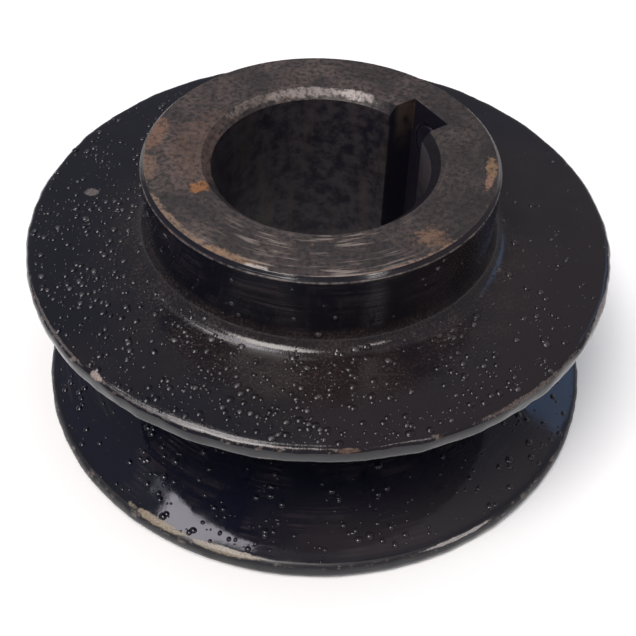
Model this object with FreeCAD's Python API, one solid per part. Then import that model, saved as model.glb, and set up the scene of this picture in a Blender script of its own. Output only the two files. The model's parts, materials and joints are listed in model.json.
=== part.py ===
import FreeCAD, Part
import math
import os

# V-belt pulley in millimetres. +Z runs up the bore's axis towards the hub, and the
# origin is the middle of the rear face, which the pulley stands on.

# Rim and belt groove
rim_diameter = 70.0
rim_width = 23.5
land_width = 2.1            # cylindrical edge left on each side of the groove
groove_angle = 38.0         # between the two flanks, in degrees
groove_depth = 14.5
groove_floor_radius = 1.6   # rounding where a flank meets the floor
groove_lip_radius = 0.9     # rounding where a flank meets its land
rim_edge_radius = 0.6       # rounding of the rim's two outer edges

# Hub, on the front face only
hub_diameter = 41.5
hub_projection = 10.0
hub_base_radius = 1.3
hub_edge_chamfer = 0.5

# Bore and keyway
bore_diameter = 25.4
bore_chamfer = 1.05
keyway_width = 6.35
keyway_depth = 3.4          # from the bore's wall, at the keyway's middle
keyway_azimuth = 36.0       # degrees from +X towards +Y

# Set screw over the keyway
screw_diameter = 6.0
screw_length = 5.0
screw_below_hub_face = 5.0  # from the hub's face down to the screw's axis
screw_tip_clearance = 0.1   # from the keyway's floor out to the screw's tip, at rest
screw_hole_clearance = 0.05  # radial, between the screw and its hole
screw_end_chamfer = 0.6
screw_point_diameter = 4.2
screw_cup_diameter = 3.0
screw_cup_depth = 0.7
socket_width = 3.0          # across the flats
socket_depth = 2.4

origin = FreeCAD.Vector(0, 0, 0)
up = FreeCAD.Vector(0, 0, 1)


def rounded_face(corners):
    """A flat face in the XZ plane. Each corner is (x, z, rounding radius)."""
    points = [FreeCAD.Vector(x, 0, z) for x, z, _ in corners]
    edges = []
    path_end = None
    path_start = None
    for index, (_, _, radius) in enumerate(corners):
        corner = points[index]
        if radius > 0:
            to_last = (points[index - 1] - corner).normalize()
            to_next = (points[(index + 1) % len(points)] - corner).normalize()
            half_angle = to_last.getAngle(to_next) / 2
            set_back = radius / math.tan(half_angle)
            middle = (to_last + to_next).normalize()
            arc_middle = corner + middle * (radius / math.sin(half_angle) - radius)
            arc_start = corner + to_last * set_back
            arc_end = corner + to_next * set_back
        else:
            arc_start = corner
            arc_end = corner
        if path_end is None:
            path_start = arc_start
        else:
            edges.append(Part.makeLine(path_end, arc_start))
        if radius > 0:
            edges.append(Part.Arc(arc_start, arc_middle, arc_end).toShape())
        path_end = arc_end
    edges.append(Part.makeLine(path_end, path_start))
    return Part.Face(Part.Wire(edges))


def turned(corners):
    """The solid that the profile sweeps about the Z axis."""
    return rounded_face(corners).revolve(origin, up, 360)


def aimed_along_keyway(shape, height):
    """Lays a shape built up +Z along the keyway's radial line, at a height."""
    aimed = shape.copy()
    aimed.rotate(origin, FreeCAD.Vector(0, 1, 0), 90)
    aimed.rotate(origin, up, keyway_azimuth)
    aimed.translate(FreeCAD.Vector(0, 0, height))
    return aimed


rim_radius = rim_diameter / 2
hub_radius = hub_diameter / 2
bore_radius = bore_diameter / 2
hub_face_height = rim_width + hub_projection
keyway_floor = bore_radius + keyway_depth
screw_height = hub_face_height - screw_below_hub_face
screw_radius = screw_diameter / 2


def pulley_casting():
    floor_radius = rim_radius - groove_depth
    flank_rise = groove_depth * math.tan(math.radians(groove_angle / 2))
    groove_bottom = land_width
    groove_top = rim_width - land_width
    body = turned([
        (bore_radius + bore_chamfer, 0, 0),
        (rim_radius, 0, rim_edge_radius),
        (rim_radius, groove_bottom, groove_lip_radius),
        (floor_radius, groove_bottom + flank_rise, groove_floor_radius),
        (floor_radius, groove_top - flank_rise, groove_floor_radius),
        (rim_radius, groove_top, groove_lip_radius),
        (rim_radius, rim_width, rim_edge_radius),
        (hub_radius, rim_width, hub_base_radius),
        (hub_radius, hub_face_height - hub_edge_chamfer, 0),
        (hub_radius - hub_edge_chamfer, hub_face_height, 0),
        (bore_radius + bore_chamfer, hub_face_height, 0),
        (bore_radius, hub_face_height - bore_chamfer, 0),
        (bore_radius, bore_chamfer, 0),
    ])
    keyway = Part.makeBox(
        keyway_floor, keyway_width, hub_face_height, FreeCAD.Vector(0, -keyway_width / 2, 0)
    )
    keyway.rotate(origin, up, keyway_azimuth)
    screw_hole = Part.makeCylinder(screw_radius + screw_hole_clearance, rim_radius)
    return body.cut(keyway).cut(aimed_along_keyway(screw_hole, screw_height))


def key_set_screw():
    tip = keyway_floor + screw_tip_clearance
    point_radius = screw_point_diameter / 2
    cup_radius = screw_cup_diameter / 2
    body = turned([
        (0, tip + screw_cup_depth, 0),
        (cup_radius, tip, 0),
        (point_radius, tip, 0),
        (screw_radius, tip + screw_radius - point_radius, 0),
        (screw_radius, tip + screw_length - screw_end_chamfer, 0),
        (screw_radius - screw_end_chamfer, tip + screw_length, 0),
        (0, tip + screw_length, 0),
    ])
    corner_radius = socket_width / math.sqrt(3)
    socket_mouth = tip + screw_length
    corners = []
    for step in range(7):
        angle = math.radians(60 * step)
        corners.append(FreeCAD.Vector(
            corner_radius * math.cos(angle), corner_radius * math.sin(angle), socket_mouth
        ))
    socket = Part.Face(Part.makePolygon(corners)).extrude(up * -socket_depth)
    return aimed_along_keyway(body.cut(socket), screw_height)


os.makedirs("parts", exist_ok=True)
for node, shape in (
    ("pulley_casting", pulley_casting()),
    ("key_set_screw", key_set_screw()),
):
    shape.exportStep("parts/" + node + ".step")
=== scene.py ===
import json
import math

import bpy
from mathutils import Matrix, Vector


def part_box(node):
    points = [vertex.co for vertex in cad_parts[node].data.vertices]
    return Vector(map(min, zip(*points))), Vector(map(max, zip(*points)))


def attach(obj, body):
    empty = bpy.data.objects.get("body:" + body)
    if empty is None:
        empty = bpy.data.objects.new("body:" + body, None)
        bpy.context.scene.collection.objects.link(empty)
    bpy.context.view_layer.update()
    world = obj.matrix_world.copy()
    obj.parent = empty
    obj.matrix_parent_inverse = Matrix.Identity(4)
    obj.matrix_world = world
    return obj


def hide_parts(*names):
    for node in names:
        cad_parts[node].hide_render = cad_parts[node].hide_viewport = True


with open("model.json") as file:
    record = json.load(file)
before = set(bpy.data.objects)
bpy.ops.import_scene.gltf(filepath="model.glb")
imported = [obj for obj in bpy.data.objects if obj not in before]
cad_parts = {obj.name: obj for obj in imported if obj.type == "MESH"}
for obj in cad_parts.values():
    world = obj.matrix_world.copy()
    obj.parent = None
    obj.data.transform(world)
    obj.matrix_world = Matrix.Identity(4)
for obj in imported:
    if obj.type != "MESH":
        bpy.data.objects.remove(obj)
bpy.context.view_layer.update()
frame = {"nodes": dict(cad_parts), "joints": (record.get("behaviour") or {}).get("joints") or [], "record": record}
print("frame loaded:", ", ".join(sorted(frame["nodes"])))

millimetre = 0.001


def linearColour(hexText):
    # sRGB hex to the linear colour that the shaders work in
    channels = []
    for start in (1, 3, 5):
        value = int(hexText[start:start + 2], 16) / 255
        channels.append(value / 12.92 if value <= 0.04045 else ((value + 0.055) / 1.055) ** 2.4)
    return (*channels, 1.0)


def addNode(tree, kind, settings=None, links=None):
    # a setting is a property of the node, or the value of the input with that name or number
    node = tree.nodes.new(kind)
    for key, value in (settings or {}).items():
        if isinstance(key, str) and key in node.bl_rna.properties:
            setattr(node, key, value)
        else:
            node.inputs[key].default_value = value
    for key, source in (links or {}).items():
        socket = source if isinstance(source, bpy.types.NodeSocket) else source.outputs[0]
        tree.links.new(socket, node.inputs[key])
    return node


def newGeometryTree(name, inputs):
    # inputs: name -> (socket type, value); every tree takes and gives a geometry
    tree = bpy.data.node_groups.new(name, "GeometryNodeTree")
    tree.interface.new_socket("Geometry", in_out="INPUT", socket_type="NodeSocketGeometry")
    for label, (kind, value) in inputs.items():
        socket = tree.interface.new_socket(label, in_out="INPUT", socket_type=kind)
        if value is not None:
            socket.default_value = value
    tree.interface.new_socket("Geometry", in_out="OUTPUT", socket_type="NodeSocketGeometry")
    return tree, tree.nodes.new("NodeGroupInput"), tree.nodes.new("NodeGroupOutput")


def bakedObject(name, source, tree, values):
    # runs one Geometry Nodes tree on the source object and keeps the result as a plain mesh
    modifier = source.modifiers.new(tree.name, "NODES")
    modifier.node_group = tree
    for item in tree.interface.items_tree:
        if item.item_type == "SOCKET" and item.in_out == "INPUT" and item.name in values:
            modifier[item.identifier] = values[item.name]
    shown = source.evaluated_get(bpy.context.evaluated_depsgraph_get())
    mesh = bpy.data.meshes.new_from_object(shown)
    source.modifiers.remove(modifier)
    mesh.name = name
    baked = bpy.data.objects.new(name, mesh)
    bpy.context.scene.collection.objects.link(baked)
    return baked


def newMaterial(name):
    material = bpy.data.materials.new(name)
    material.use_nodes = True
    tree = material.node_tree
    tree.nodes.clear()
    return material, tree


def ringPlace(tree):
    # where a shading point is on the turned part, in mm: its place, distance from the axis, height, azimuth
    coordinates = addNode(tree, "ShaderNodeTexCoord")
    place = addNode(tree, "ShaderNodeVectorMath", {"operation": "SCALE", "Scale": 1 / millimetre},
                    {0: coordinates.outputs["Object"]})
    flat = addNode(tree, "ShaderNodeVectorMath", {"operation": "MULTIPLY", 1: (1, 1, 0)}, {0: place})
    radius = addNode(tree, "ShaderNodeVectorMath", {"operation": "LENGTH"}, {0: flat})
    parts = addNode(tree, "ShaderNodeSeparateXYZ", {}, {0: place})
    azimuth = addNode(tree, "ShaderNodeMath", {"operation": "ARCTAN2"},
                      {0: parts.outputs["Y"], 1: parts.outputs["X"]})
    return {"place": place.outputs[0], "radius": radius.outputs["Value"], "height": parts.outputs["Z"],
            "azimuth": azimuth.outputs[0]}


def band(tree, value, low, high, soft):
    # 1 where the value is between low and high, with soft sides
    rise = addNode(tree, "ShaderNodeMapRange",
                   {"interpolation_type": "SMOOTHSTEP", 1: low - soft, 2: low + soft}, {0: value})
    fall = addNode(tree, "ShaderNodeMapRange",
                   {"interpolation_type": "SMOOTHSTEP", 1: high - soft, 2: high + soft, 3: 1.0, 4: 0.0},
                   {0: value})
    return addNode(tree, "ShaderNodeMath", {"operation": "MULTIPLY"}, {0: rise, 1: fall})


def bothMasks(tree, *masks):
    # 1 only where every mask is 1
    product = masks[0]
    for mask in masks[1:]:
        product = addNode(tree, "ShaderNodeMath", {"operation": "MULTIPLY", "use_clamp": True},
                          {0: product, 1: mask})
    return product


def layCoats(tree, base, coats):
    # paints each coat, a mask and a colour, over the ones before it
    colour = None
    for mask, over in coats:
        mix = addNode(tree, "ShaderNodeMix",
                      {"data_type": "RGBA", 6: linearColour(base), 7: linearColour(over)}, {0: mask})
        if colour:
            tree.links.new(colour, mix.inputs[6])
        colour = mix.outputs[2]
    return colour


def toolMarks(tree, at, pitch, turns):
    # noise that runs fast across the tool's path and slowly along it
    across = addNode(tree, "ShaderNodeMath", {"operation": "DIVIDE", 1: pitch}, {0: at["radius"]})
    up = addNode(tree, "ShaderNodeMath", {"operation": "DIVIDE", 1: pitch}, {0: at["height"]})
    along = addNode(tree, "ShaderNodeMath", {"operation": "MULTIPLY", 1: turns / pitch}, {0: at["azimuth"]})
    path = addNode(tree, "ShaderNodeCombineXYZ", {}, {0: across, 1: up, 2: along})
    return addNode(tree, "ShaderNodeTexNoise", {"Scale": 1.0, "Detail": 3.0}, {"Vector": path})


def wornSpot(tree, at, ragged, grain, spot):
    # one ragged, grainy spot at an azimuth, radius and height, sized along, across and up, in mm
    turn = math.radians(spot["azimuth"])
    outward = (math.cos(turn), math.sin(turn), 0)
    alongRing = (-math.sin(turn), math.cos(turn), 0)
    along = addNode(tree, "ShaderNodeVectorMath", {"operation": "DOT_PRODUCT", 1: alongRing},
                    {0: at["place"]})
    alongShare = addNode(tree, "ShaderNodeMath", {"operation": "DIVIDE", 1: spot["along"]},
                         {0: along.outputs["Value"]})
    acrossShare = addNode(tree, "ShaderNodeMapRange",
                          {"clamp": False, 1: spot["radius"], 2: spot["radius"] + spot["across"]},
                          {0: at["radius"]})
    upShare = addNode(tree, "ShaderNodeMapRange",
                      {"clamp": False, 1: spot["height"], 2: spot["height"] + spot["tall"]},
                      {0: at["height"]})
    offset = addNode(tree, "ShaderNodeCombineXYZ", {}, {0: alongShare, 1: acrossShare, 2: upShare})
    distance = addNode(tree, "ShaderNodeVectorMath", {"operation": "LENGTH"}, {0: offset})
    frayed = addNode(tree, "ShaderNodeMath", {"operation": "MULTIPLY_ADD", 1: spot["ragged"]},
                     {0: ragged, 2: distance.outputs["Value"]})
    whole = addNode(tree, "ShaderNodeMapRange", {1: 1.12, 2: 0.82, 3: 0.0, 4: spot["strength"]},
                    {0: frayed})
    near = addNode(tree, "ShaderNodeVectorMath", {"operation": "DOT_PRODUCT", 1: outward}, {0: at["place"]})
    nearSide = addNode(tree, "ShaderNodeMath", {"operation": "GREATER_THAN", 1: 0.0},
                       {0: near.outputs["Value"]})
    return bothMasks(tree, whole, nearSide, grain)


def finishMaterial(tree, settings, links, bumpHeight):
    # heights are in mm, so the bump's distance is one millimetre
    bump = addNode(tree, "ShaderNodeBump", {"Strength": 1.0, "Distance": millimetre},
                   {"Height": bumpHeight})
    shader = addNode(tree, "ShaderNodeBsdfPrincipled", settings, {**links, "Normal": bump})
    addNode(tree, "ShaderNodeOutputMaterial", {}, {"Surface": shader})


# M6 threads, shared by the screw and the hole it turns in
threadSettings = {
    "majorRadius": 3.0,
    "pitch": 1.0,
    "depth": 0.61,
    "clearance": 0.05,    # radial, hole over screw
    "facets": 48,
    "stepsPerTurn": 12,
}


def makeThreadTree():
    # a rod along Z between two heights, its wall moved in and out along a right-hand helix
    lengths = ("Start", "End", "Major Radius", "Thread Depth", "Pitch", "End Radius")
    inputs = {label: ("NodeSocketFloat", 0.0) for label in lengths}
    inputs["Facets"] = ("NodeSocketInt", 0)
    inputs["Steps Per Turn"] = ("NodeSocketInt", 0)
    tree, given, result = newGeometryTree("threadedRod", inputs)
    value = given.outputs
    length = addNode(tree, "ShaderNodeMath", {"operation": "SUBTRACT"}, {0: value["End"], 1: value["Start"]})
    turns = addNode(tree, "ShaderNodeMath", {"operation": "DIVIDE"}, {0: length, 1: value["Pitch"]})
    steps = addNode(tree, "ShaderNodeMath", {"operation": "MULTIPLY"}, {0: turns, 1: value["Steps Per Turn"]})
    rod = addNode(tree, "GeometryNodeMeshCylinder", {"Radius": 1.0},
                  {"Vertices": value["Facets"], "Side Segments": steps, "Depth": length})
    middle = addNode(tree, "ShaderNodeMath", {"operation": "MULTIPLY_ADD", 1: 0.5},
                     {0: length, 2: value["Start"]})
    lift = addNode(tree, "ShaderNodeCombineXYZ", {}, {2: middle})
    raised = addNode(tree, "GeometryNodeTransform", {}, {"Geometry": rod, "Translation": lift})
    position = addNode(tree, "GeometryNodeInputPosition")
    parts = addNode(tree, "ShaderNodeSeparateXYZ", {}, {0: position})
    turn = addNode(tree, "ShaderNodeMath", {"operation": "ARCTAN2"},
                   {0: parts.outputs["Y"], 1: parts.outputs["X"]})
    turnShare = addNode(tree, "ShaderNodeMath", {"operation": "DIVIDE", 1: 2 * math.pi}, {0: turn})
    pitches = addNode(tree, "ShaderNodeMath", {"operation": "DIVIDE"},
                      {0: parts.outputs["Z"], 1: value["Pitch"]})
    phase = addNode(tree, "ShaderNodeMath", {"operation": "SUBTRACT"}, {0: pitches, 1: turnShare})
    ridge = addNode(tree, "ShaderNodeMath", {"operation": "PINGPONG", 1: 0.5}, {0: phase})
    # flat for the first and last few hundredths of half a pitch, like a real crest and root
    flank = addNode(tree, "ShaderNodeMapRange", {1: 0.06, 2: 0.44, 3: 1.0, 4: 0.0}, {0: ridge})
    cut = addNode(tree, "ShaderNodeMath", {"operation": "MULTIPLY"}, {0: flank, 1: value["Thread Depth"]})
    threaded = addNode(tree, "ShaderNodeMath", {"operation": "SUBTRACT"}, {0: value["Major Radius"], 1: cut})
    fromStart = addNode(tree, "ShaderNodeMath", {"operation": "SUBTRACT"},
                        {0: parts.outputs["Z"], 1: value["Start"]})
    fromEnd = addNode(tree, "ShaderNodeMath", {"operation": "SUBTRACT"},
                      {0: value["End"], 1: parts.outputs["Z"]})
    nearest = addNode(tree, "ShaderNodeMath", {"operation": "MINIMUM"}, {0: fromStart, 1: fromEnd})
    chamfer = addNode(tree, "ShaderNodeMath", {"operation": "ADD"}, {0: nearest, 1: value["End Radius"]})
    radius = addNode(tree, "ShaderNodeMath", {"operation": "MINIMUM"}, {0: threaded, 1: chamfer})
    # the rod was made one metre in radius, so its X and Y are directions
    spread = addNode(tree, "ShaderNodeCombineXYZ", {}, {0: radius, 1: radius})
    placed = addNode(tree, "ShaderNodeVectorMath", {"operation": "MULTIPLY"}, {0: position, 1: spread})
    upright = addNode(tree, "ShaderNodeCombineXYZ", {}, {2: parts.outputs["Z"]})
    final = addNode(tree, "ShaderNodeVectorMath", {"operation": "ADD"}, {0: placed, 1: upright})
    shaped = addNode(tree, "GeometryNodeSetPosition", {}, {"Geometry": raised, "Position": final})
    tree.links.new(shaped.outputs[0], result.inputs[0])
    return tree


threadTree = makeThreadTree()


# the casting's driving sizes, in mm and degrees; the outermost ones, the bore and the keyway follow the frame
boreMount = next(mount for mount in frame["record"]["mounts"] if mount["name"] == "bore")
screwAxis = next(joint for joint in frame["joints"] if joint["name"] == "screw_travel")["axis"]
screwLow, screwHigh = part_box("key_set_screw")
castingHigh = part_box("pulley_casting")[1]

castingSizes = {
    "rimRadius": castingHigh[0] / millimetre,
    "faceHeight": castingHigh[2] / millimetre,
    "rimWidth": 23.5,
    "landWidth": 2.1,
    "grooveAngle": 38.0,
    "grooveDepth": 14.5,
    "grooveFloorRounding": 1.6,
    "grooveLipRounding": 0.9,
    "rimEdgeRounding": 0.9,   # 0.6 in the casting, filled out by paint
    "hubRadius": 20.75,
    "hubBaseRounding": 2.1,   # 1.3 in the casting, filled out by paint
    "hubEdgeChamfer": 0.5,
    "boreRadius": boreMount["dims"]["r_mm"],
    "boreChamfer": 1.05,
    "keywayWidth": 6.35,
    "keywayFloor": 16.1,
    "keywayAzimuth": math.degrees(math.atan2(screwAxis[1], screwAxis[0])),
    "screwHeight": (screwLow[2] + screwHigh[2]) / 2 / millimetre,
    "turnSteps": 360,         # facets round the axis
    "cornerSteps": 6,         # facets in each rounding
    "profileStep": 0.62,      # along the profile
    "waviness": 0.05,         # how far the cast faces wander
    "turnedWaviness": 0.15,   # share of that left on the turned groove
    "wavinessSize": 7.0,
    "edgeWobble": 0.16,       # how far the rim's outline wanders
    "edgeWobbleSize": 3.5,
    "seed": 4,
}

enamelSettings = {
    "coolBlack": "#0c0d15",      # the paint's own black, where dust and painted sheen are thin: on the left and in the groove
    "warmBlack": "#1c1719",      # dust on the paint, with a painted sheen that makes it heavier towards the right
    "grooveBlack": "#0b0d1b",    # wiped by the belt, so the blue of the black shows
    "grooveHaze": "#292528",     # a lighter coat in the groove, towards the rear flange's lip
    "dustBrown": "#4e423d",      # iron dust held in the paint round the hub
    "scuffGrey": "#332d31",      # paint polished by the belt
    "wornEdge": "#726863",       # undercoat and iron along the rim's edges
    "edgeRust": "#664a3c",
    "dullEdge": "#3d332f",       # the back of the hub's edge, thinly painted and rusty
    "crownGrey": "#524e50",      # dust on the tops of beads, and a painted highlight there
    "roughness": 0.10,
    "toneSize": 14.0,            # mm, from patch to patch
    "scuffSize": 6.0,            # mm, from one stretch of scuffs to the next
    "dustSize": 0.34,            # mm, specks of dust
    "dustDriftSize": 4.0,        # mm, the drifts they lie in
    "gritSize": 0.2,             # mm, what sticks to beads and bare spots
    "edgeWearSize": 1.1,         # mm, nicks along worn edges
    "edgeRustSize": 2.6,         # mm
    "glossSize": 5.0,            # mm, from glossy to dull
    "orangePeelSize": 1.6,       # mm, ripple of brushed gloss enamel
    "orangePeelHeight": 0.010,   # mm
    "sandSize": 0.45,            # mm, grain of the moulding sand under the paint
    "sandHeight": 0.018,         # mm
    "toolMarkPitch": 0.40,       # mm, drawn coarser than the real 0.15 so that it shows
    "toolMarkHeight": 0.034,     # mm
}

enamelSpots = [
    # a pale scab on the flange
    {"azimuth": 171.4, "radius": 28.6, "height": 23.5, "along": 0.75, "across": 0.85, "tall": 2.0,
     "ragged": 1.2, "strength": 0.7, "colour": "#6b6360"},
    # knocks and bare stretches on the front flange's edge
    {"azimuth": -112.0, "radius": 34.5, "height": 23.5, "along": 11.0, "across": 0.17, "tall": 0.5,
     "ragged": 3.0, "strength": 0.5, "colour": "#6f6968"},
    {"azimuth": -147.0, "radius": 34.6, "height": 23.5, "along": 7.0, "across": 0.16, "tall": 0.5,
     "ragged": 3.0, "strength": 0.5, "colour": "#6d6766"},
    {"azimuth": -131.6, "radius": 34.5, "height": 23.4, "along": 0.9, "across": 0.4, "tall": 0.5,
     "ragged": 1.8, "strength": 0.8, "colour": "#9a8c84"},
    {"azimuth": -84.0, "radius": 34.8, "height": 23.4, "along": 1.2, "across": 0.3, "tall": 0.4,
     "ragged": 2.4, "strength": 0.5, "colour": "#70584a"},
    {"azimuth": -48.0, "radius": 34.8, "height": 23.4, "along": 7.0, "across": 0.3, "tall": 0.4,
     "ragged": 2.6, "strength": 0.55, "colour": "#6a5e58"},
    {"azimuth": -22.0, "radius": 34.8, "height": 23.3, "along": 3.5, "across": 0.32, "tall": 0.5,
     "ragged": 2.4, "strength": 0.7, "colour": "#857c77"},
    # primer showing along the rear flange's lip, at the front
    {"azimuth": -121.0, "radius": 34.3, "height": 2.35, "along": 3.8, "across": 0.42, "tall": 0.8,
     "ragged": 1.8, "strength": 0.70, "colour": "#96876f"},
    {"azimuth": -106.0, "radius": 34.4, "height": 2.3, "along": 4.2, "across": 0.36, "tall": 0.8,
     "ragged": 1.8, "strength": 0.70, "colour": "#978a78"},
    # a painted highlight on the lip's rounding, at the right
    {"azimuth": -60.0, "radius": 34.7, "height": 2.1, "along": 4.6, "across": 0.16, "tall": 0.4,
     "ragged": 1.6, "strength": 0.9, "colour": "#a39e9c"},
]


def roundEdges(tree, at, soft):
    # 1 along the crest of the rim's four rounded edges, which rub through first
    size = castingSizes
    half = size["rimWidth"] / 2
    outerCrest = size["rimRadius"] + half - (2 - math.sqrt(2)) * size["rimEdgeRounding"]
    fromMiddle = addNode(tree, "ShaderNodeMath", {"operation": "SUBTRACT", 1: half}, {0: at["height"]})
    upOrDown = addNode(tree, "ShaderNodeMath", {"operation": "ABSOLUTE"}, {0: fromMiddle})
    outer = addNode(tree, "ShaderNodeMath", {"operation": "ADD"}, {0: at["radius"], 1: upOrDown})
    outerEdge = addNode(tree, "ShaderNodeMapRange", {1: outerCrest - 2 * soft, 2: outerCrest - soft},
                        {0: outer})

    # the lip's crest faces halfway between the land and the groove's flank
    tilt = math.radians(90 - size["grooveAngle"] / 2) / 2
    lip = (math.cos(tilt), -math.sin(tilt))
    corner = lip[0] * size["rimRadius"] + lip[1] * (half - size["landWidth"])
    lipCrest = corner - size["grooveLipRounding"] * (1 / math.cos(tilt) - 1)
    outwards = addNode(tree, "ShaderNodeMath", {"operation": "MULTIPLY", 1: lip[0]}, {0: at["radius"]})
    alongLip = addNode(tree, "ShaderNodeMath", {"operation": "MULTIPLY_ADD", 1: lip[1]},
                       {0: upOrDown, 2: outwards})
    lipEdge = addNode(tree, "ShaderNodeMapRange", {1: lipCrest - 2 * soft, 2: lipCrest - soft},
                      {0: alongLip})
    return addNode(tree, "ShaderNodeMath", {"operation": "MAXIMUM"}, {0: outerEdge, 1: lipEdge})


def dustRoundHub(tree, at, onFlange, backward):
    # specks of iron dust in the paint, thickest at the foot of the hub and furthest out at the front
    chosen = enamelSettings
    reached = addNode(tree, "ShaderNodeMath", {"operation": "MULTIPLY_ADD", 1: 3.4},
                      {0: backward, 2: at["radius"]})
    nearHub = addNode(tree, "ShaderNodeMapRange", {"interpolation_type": "SMOOTHSTEP", 1: 29.5, 2: 18.5},
                      {0: reached})
    specks = addNode(tree, "ShaderNodeTexNoise",
                     {"Scale": 1 / chosen["dustSize"], "Detail": 5.0, "Roughness": 0.75},
                     {"Vector": at["place"]})
    speckShare = addNode(tree, "ShaderNodeMapRange", {1: 0.48, 2: 0.66, 3: 0.08, 4: 0.62}, {0: specks})
    drift = addNode(tree, "ShaderNodeTexNoise", {"Scale": 1 / chosen["dustDriftSize"], "Detail": 3.0},
                    {"Vector": at["place"]})
    driftShare = addNode(tree, "ShaderNodeMapRange", {1: 0.38, 2: 0.60, 3: 0.35, 4: 1.0}, {0: drift})
    return bothMasks(tree, nearHub, onFlange, speckShare, driftShare)


def makeEnamel():
    # black gloss enamel, brushed over a sand casting: deep black, slightly rippled, dusty where handled
    chosen = enamelSettings
    size = castingSizes
    rimRadius, rimWidth, hubRadius, face = (
        size[name] for name in ("rimRadius", "rimWidth", "hubRadius", "faceHeight"))
    material, tree = newMaterial("blackGlossEnamelOverCasting")
    at = ringPlace(tree)
    onFlange = band(tree, at["height"], rimWidth - 0.5, rimWidth + 2.5, 0.5)
    onHub = band(tree, at["height"], rimWidth + 1.3, face + 0.5, 0.4)
    inGroove = bothMasks(
        tree, band(tree, at["height"], size["landWidth"] + 0.3, rimWidth - size["landWidth"] - 0.3, 0.2),
        band(tree, at["radius"], 10.0, rimRadius - 0.5, 0.2))
    backward = addNode(tree, "ShaderNodeMath", {"operation": "SINE"}, {0: at["azimuth"]})   # -1 at the front

    tone = addNode(tree, "ShaderNodeTexNoise", {"Scale": 1 / chosen["toneSize"], "Detail": 4.0},
                   {"Vector": at["place"]})
    # lighter towards the right: a painted sheen, added to the random dust tone
    sheenSide = addNode(tree, "ShaderNodeVectorMath", {"operation": "DOT_PRODUCT", 1: (0.9, -0.35, 0.0)},
                        {0: at["place"]})
    sideShare = addNode(tree, "ShaderNodeMapRange", {1: -26.0, 2: 30.0, 3: -0.30, 4: 0.32},
                        {0: sheenSide.outputs["Value"]})
    tonePlusSide = addNode(tree, "ShaderNodeMath", {"operation": "ADD"}, {0: tone, 1: sideShare})
    toneShare = addNode(tree, "ShaderNodeMapRange", {1: 0.36, 2: 0.74}, {0: tonePlusSide})
    # painted sheen on the hub's side, only at the right
    hubRightSheen = addNode(tree, "ShaderNodeMapRange", {1: 8.0, 2: 18.0}, {0: sheenSide.outputs["Value"]})
    abovePlate = addNode(tree, "ShaderNodeMath", {"operation": "MULTIPLY_ADD", "use_clamp": True},
                         {0: onHub, 1: hubRightSheen, 2: onFlange})
    filmAndSheenZone = addNode(tree, "ShaderNodeMath", {"operation": "MULTIPLY_ADD", 1: 0.75, 2: 0.25},
                       {0: abovePlate})
    dustFilmAndSheen = bothMasks(tree, toneShare, filmAndSheenZone)
    dust = dustRoundHub(tree, at, onFlange, backward)
    nearLip = addNode(tree, "ShaderNodeMapRange", {1: rimRadius - 9.5, 2: rimRadius - 3}, {0: at["radius"]})
    lighterNearLip = bothMasks(tree, inGroove, nearLip, toneShare)

    marks = toolMarks(tree, at, chosen["toolMarkPitch"], 0.5)
    stretches = addNode(tree, "ShaderNodeTexNoise", {"Scale": 1 / chosen["scuffSize"], "Detail": 3.0},
                        {"Vector": at["place"]})
    scuffLines = addNode(tree, "ShaderNodeMapRange", {1: 0.44, 2: 0.64, 3: 0.0, 4: 0.65}, {0: marks})
    scuffShare = addNode(tree, "ShaderNodeMapRange", {1: 0.48, 2: 0.60}, {0: stretches})
    turned = addNode(tree, "ShaderNodeMath", {"operation": "ADD", "use_clamp": True}, {0: onHub, 1: inGroove})
    scuffs = bothMasks(tree, scuffLines, scuffShare, turned)

    # worn edges come and go
    crest = roundEdges(tree, at, 0.04)
    edgeNoise = addNode(tree, "ShaderNodeTexNoise",
                        {"Scale": 1 / chosen["edgeWearSize"], "Detail": 6.0, "Roughness": 0.72},
                        {"Vector": at["place"]})
    edgeShare = addNode(tree, "ShaderNodeMapRange", {1: 0.52, 2: 0.62, 3: 0.0, 4: 0.65}, {0: edgeNoise})
    rimWear = bothMasks(tree, crest, edgeShare)
    # the foot of the hub's chamfer is rubbed more evenly
    hubShare = addNode(tree, "ShaderNodeMapRange", {1: 0.38, 2: 0.60, 3: 0.0, 4: 0.55}, {0: edgeNoise})
    chamferFoot = face - size["hubEdgeChamfer"]
    hubWear = bothMasks(tree, hubShare, band(tree, at["height"], chamferFoot - 0.1, chamferFoot + 0.1, 0.04),
                        band(tree, at["radius"], hubRadius - 0.45, hubRadius + 0.25, 0.05))
    wornEdge = addNode(tree, "ShaderNodeMath", {"operation": "MAXIMUM"}, {0: rimWear, 1: hubWear})
    backShare = addNode(tree, "ShaderNodeMapRange", {1: -0.30, 2: 0.10}, {0: backward})
    dullEdge = bothMasks(tree, backShare, band(tree, at["height"], chamferFoot - 0.05, face + 0.3, 0.05),
                         band(tree, at["radius"], hubRadius - 0.75, hubRadius + 0.25, 0.05))
    rustNoise = addNode(tree, "ShaderNodeTexNoise",
                        {"Scale": 1 / chosen["edgeRustSize"], "Detail": 5.0, "Roughness": 0.65},
                        {"Vector": at["place"]})
    rustShare = addNode(tree, "ShaderNodeMapRange", {1: 0.57, 2: 0.66}, {0: rustNoise})
    rustyEdge = bothMasks(tree, wornEdge, rustShare)

    # beads carry two attributes: 1 at the crown, and how much dust and painted highlight this one gets
    crown = addNode(tree, "ShaderNodeAttribute", {"attribute_name": "crown"})
    dustiness = addNode(tree, "ShaderNodeAttribute", {"attribute_name": "dustiness"})
    grit = addNode(tree, "ShaderNodeTexNoise", {"Scale": 1 / chosen["gritSize"], "Detail": 2.0},
                   {"Vector": at["place"]})
    gritShare = addNode(tree, "ShaderNodeMapRange", {1: 0.35, 2: 0.60, 3: 0.4, 4: 1.0}, {0: grit})
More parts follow.
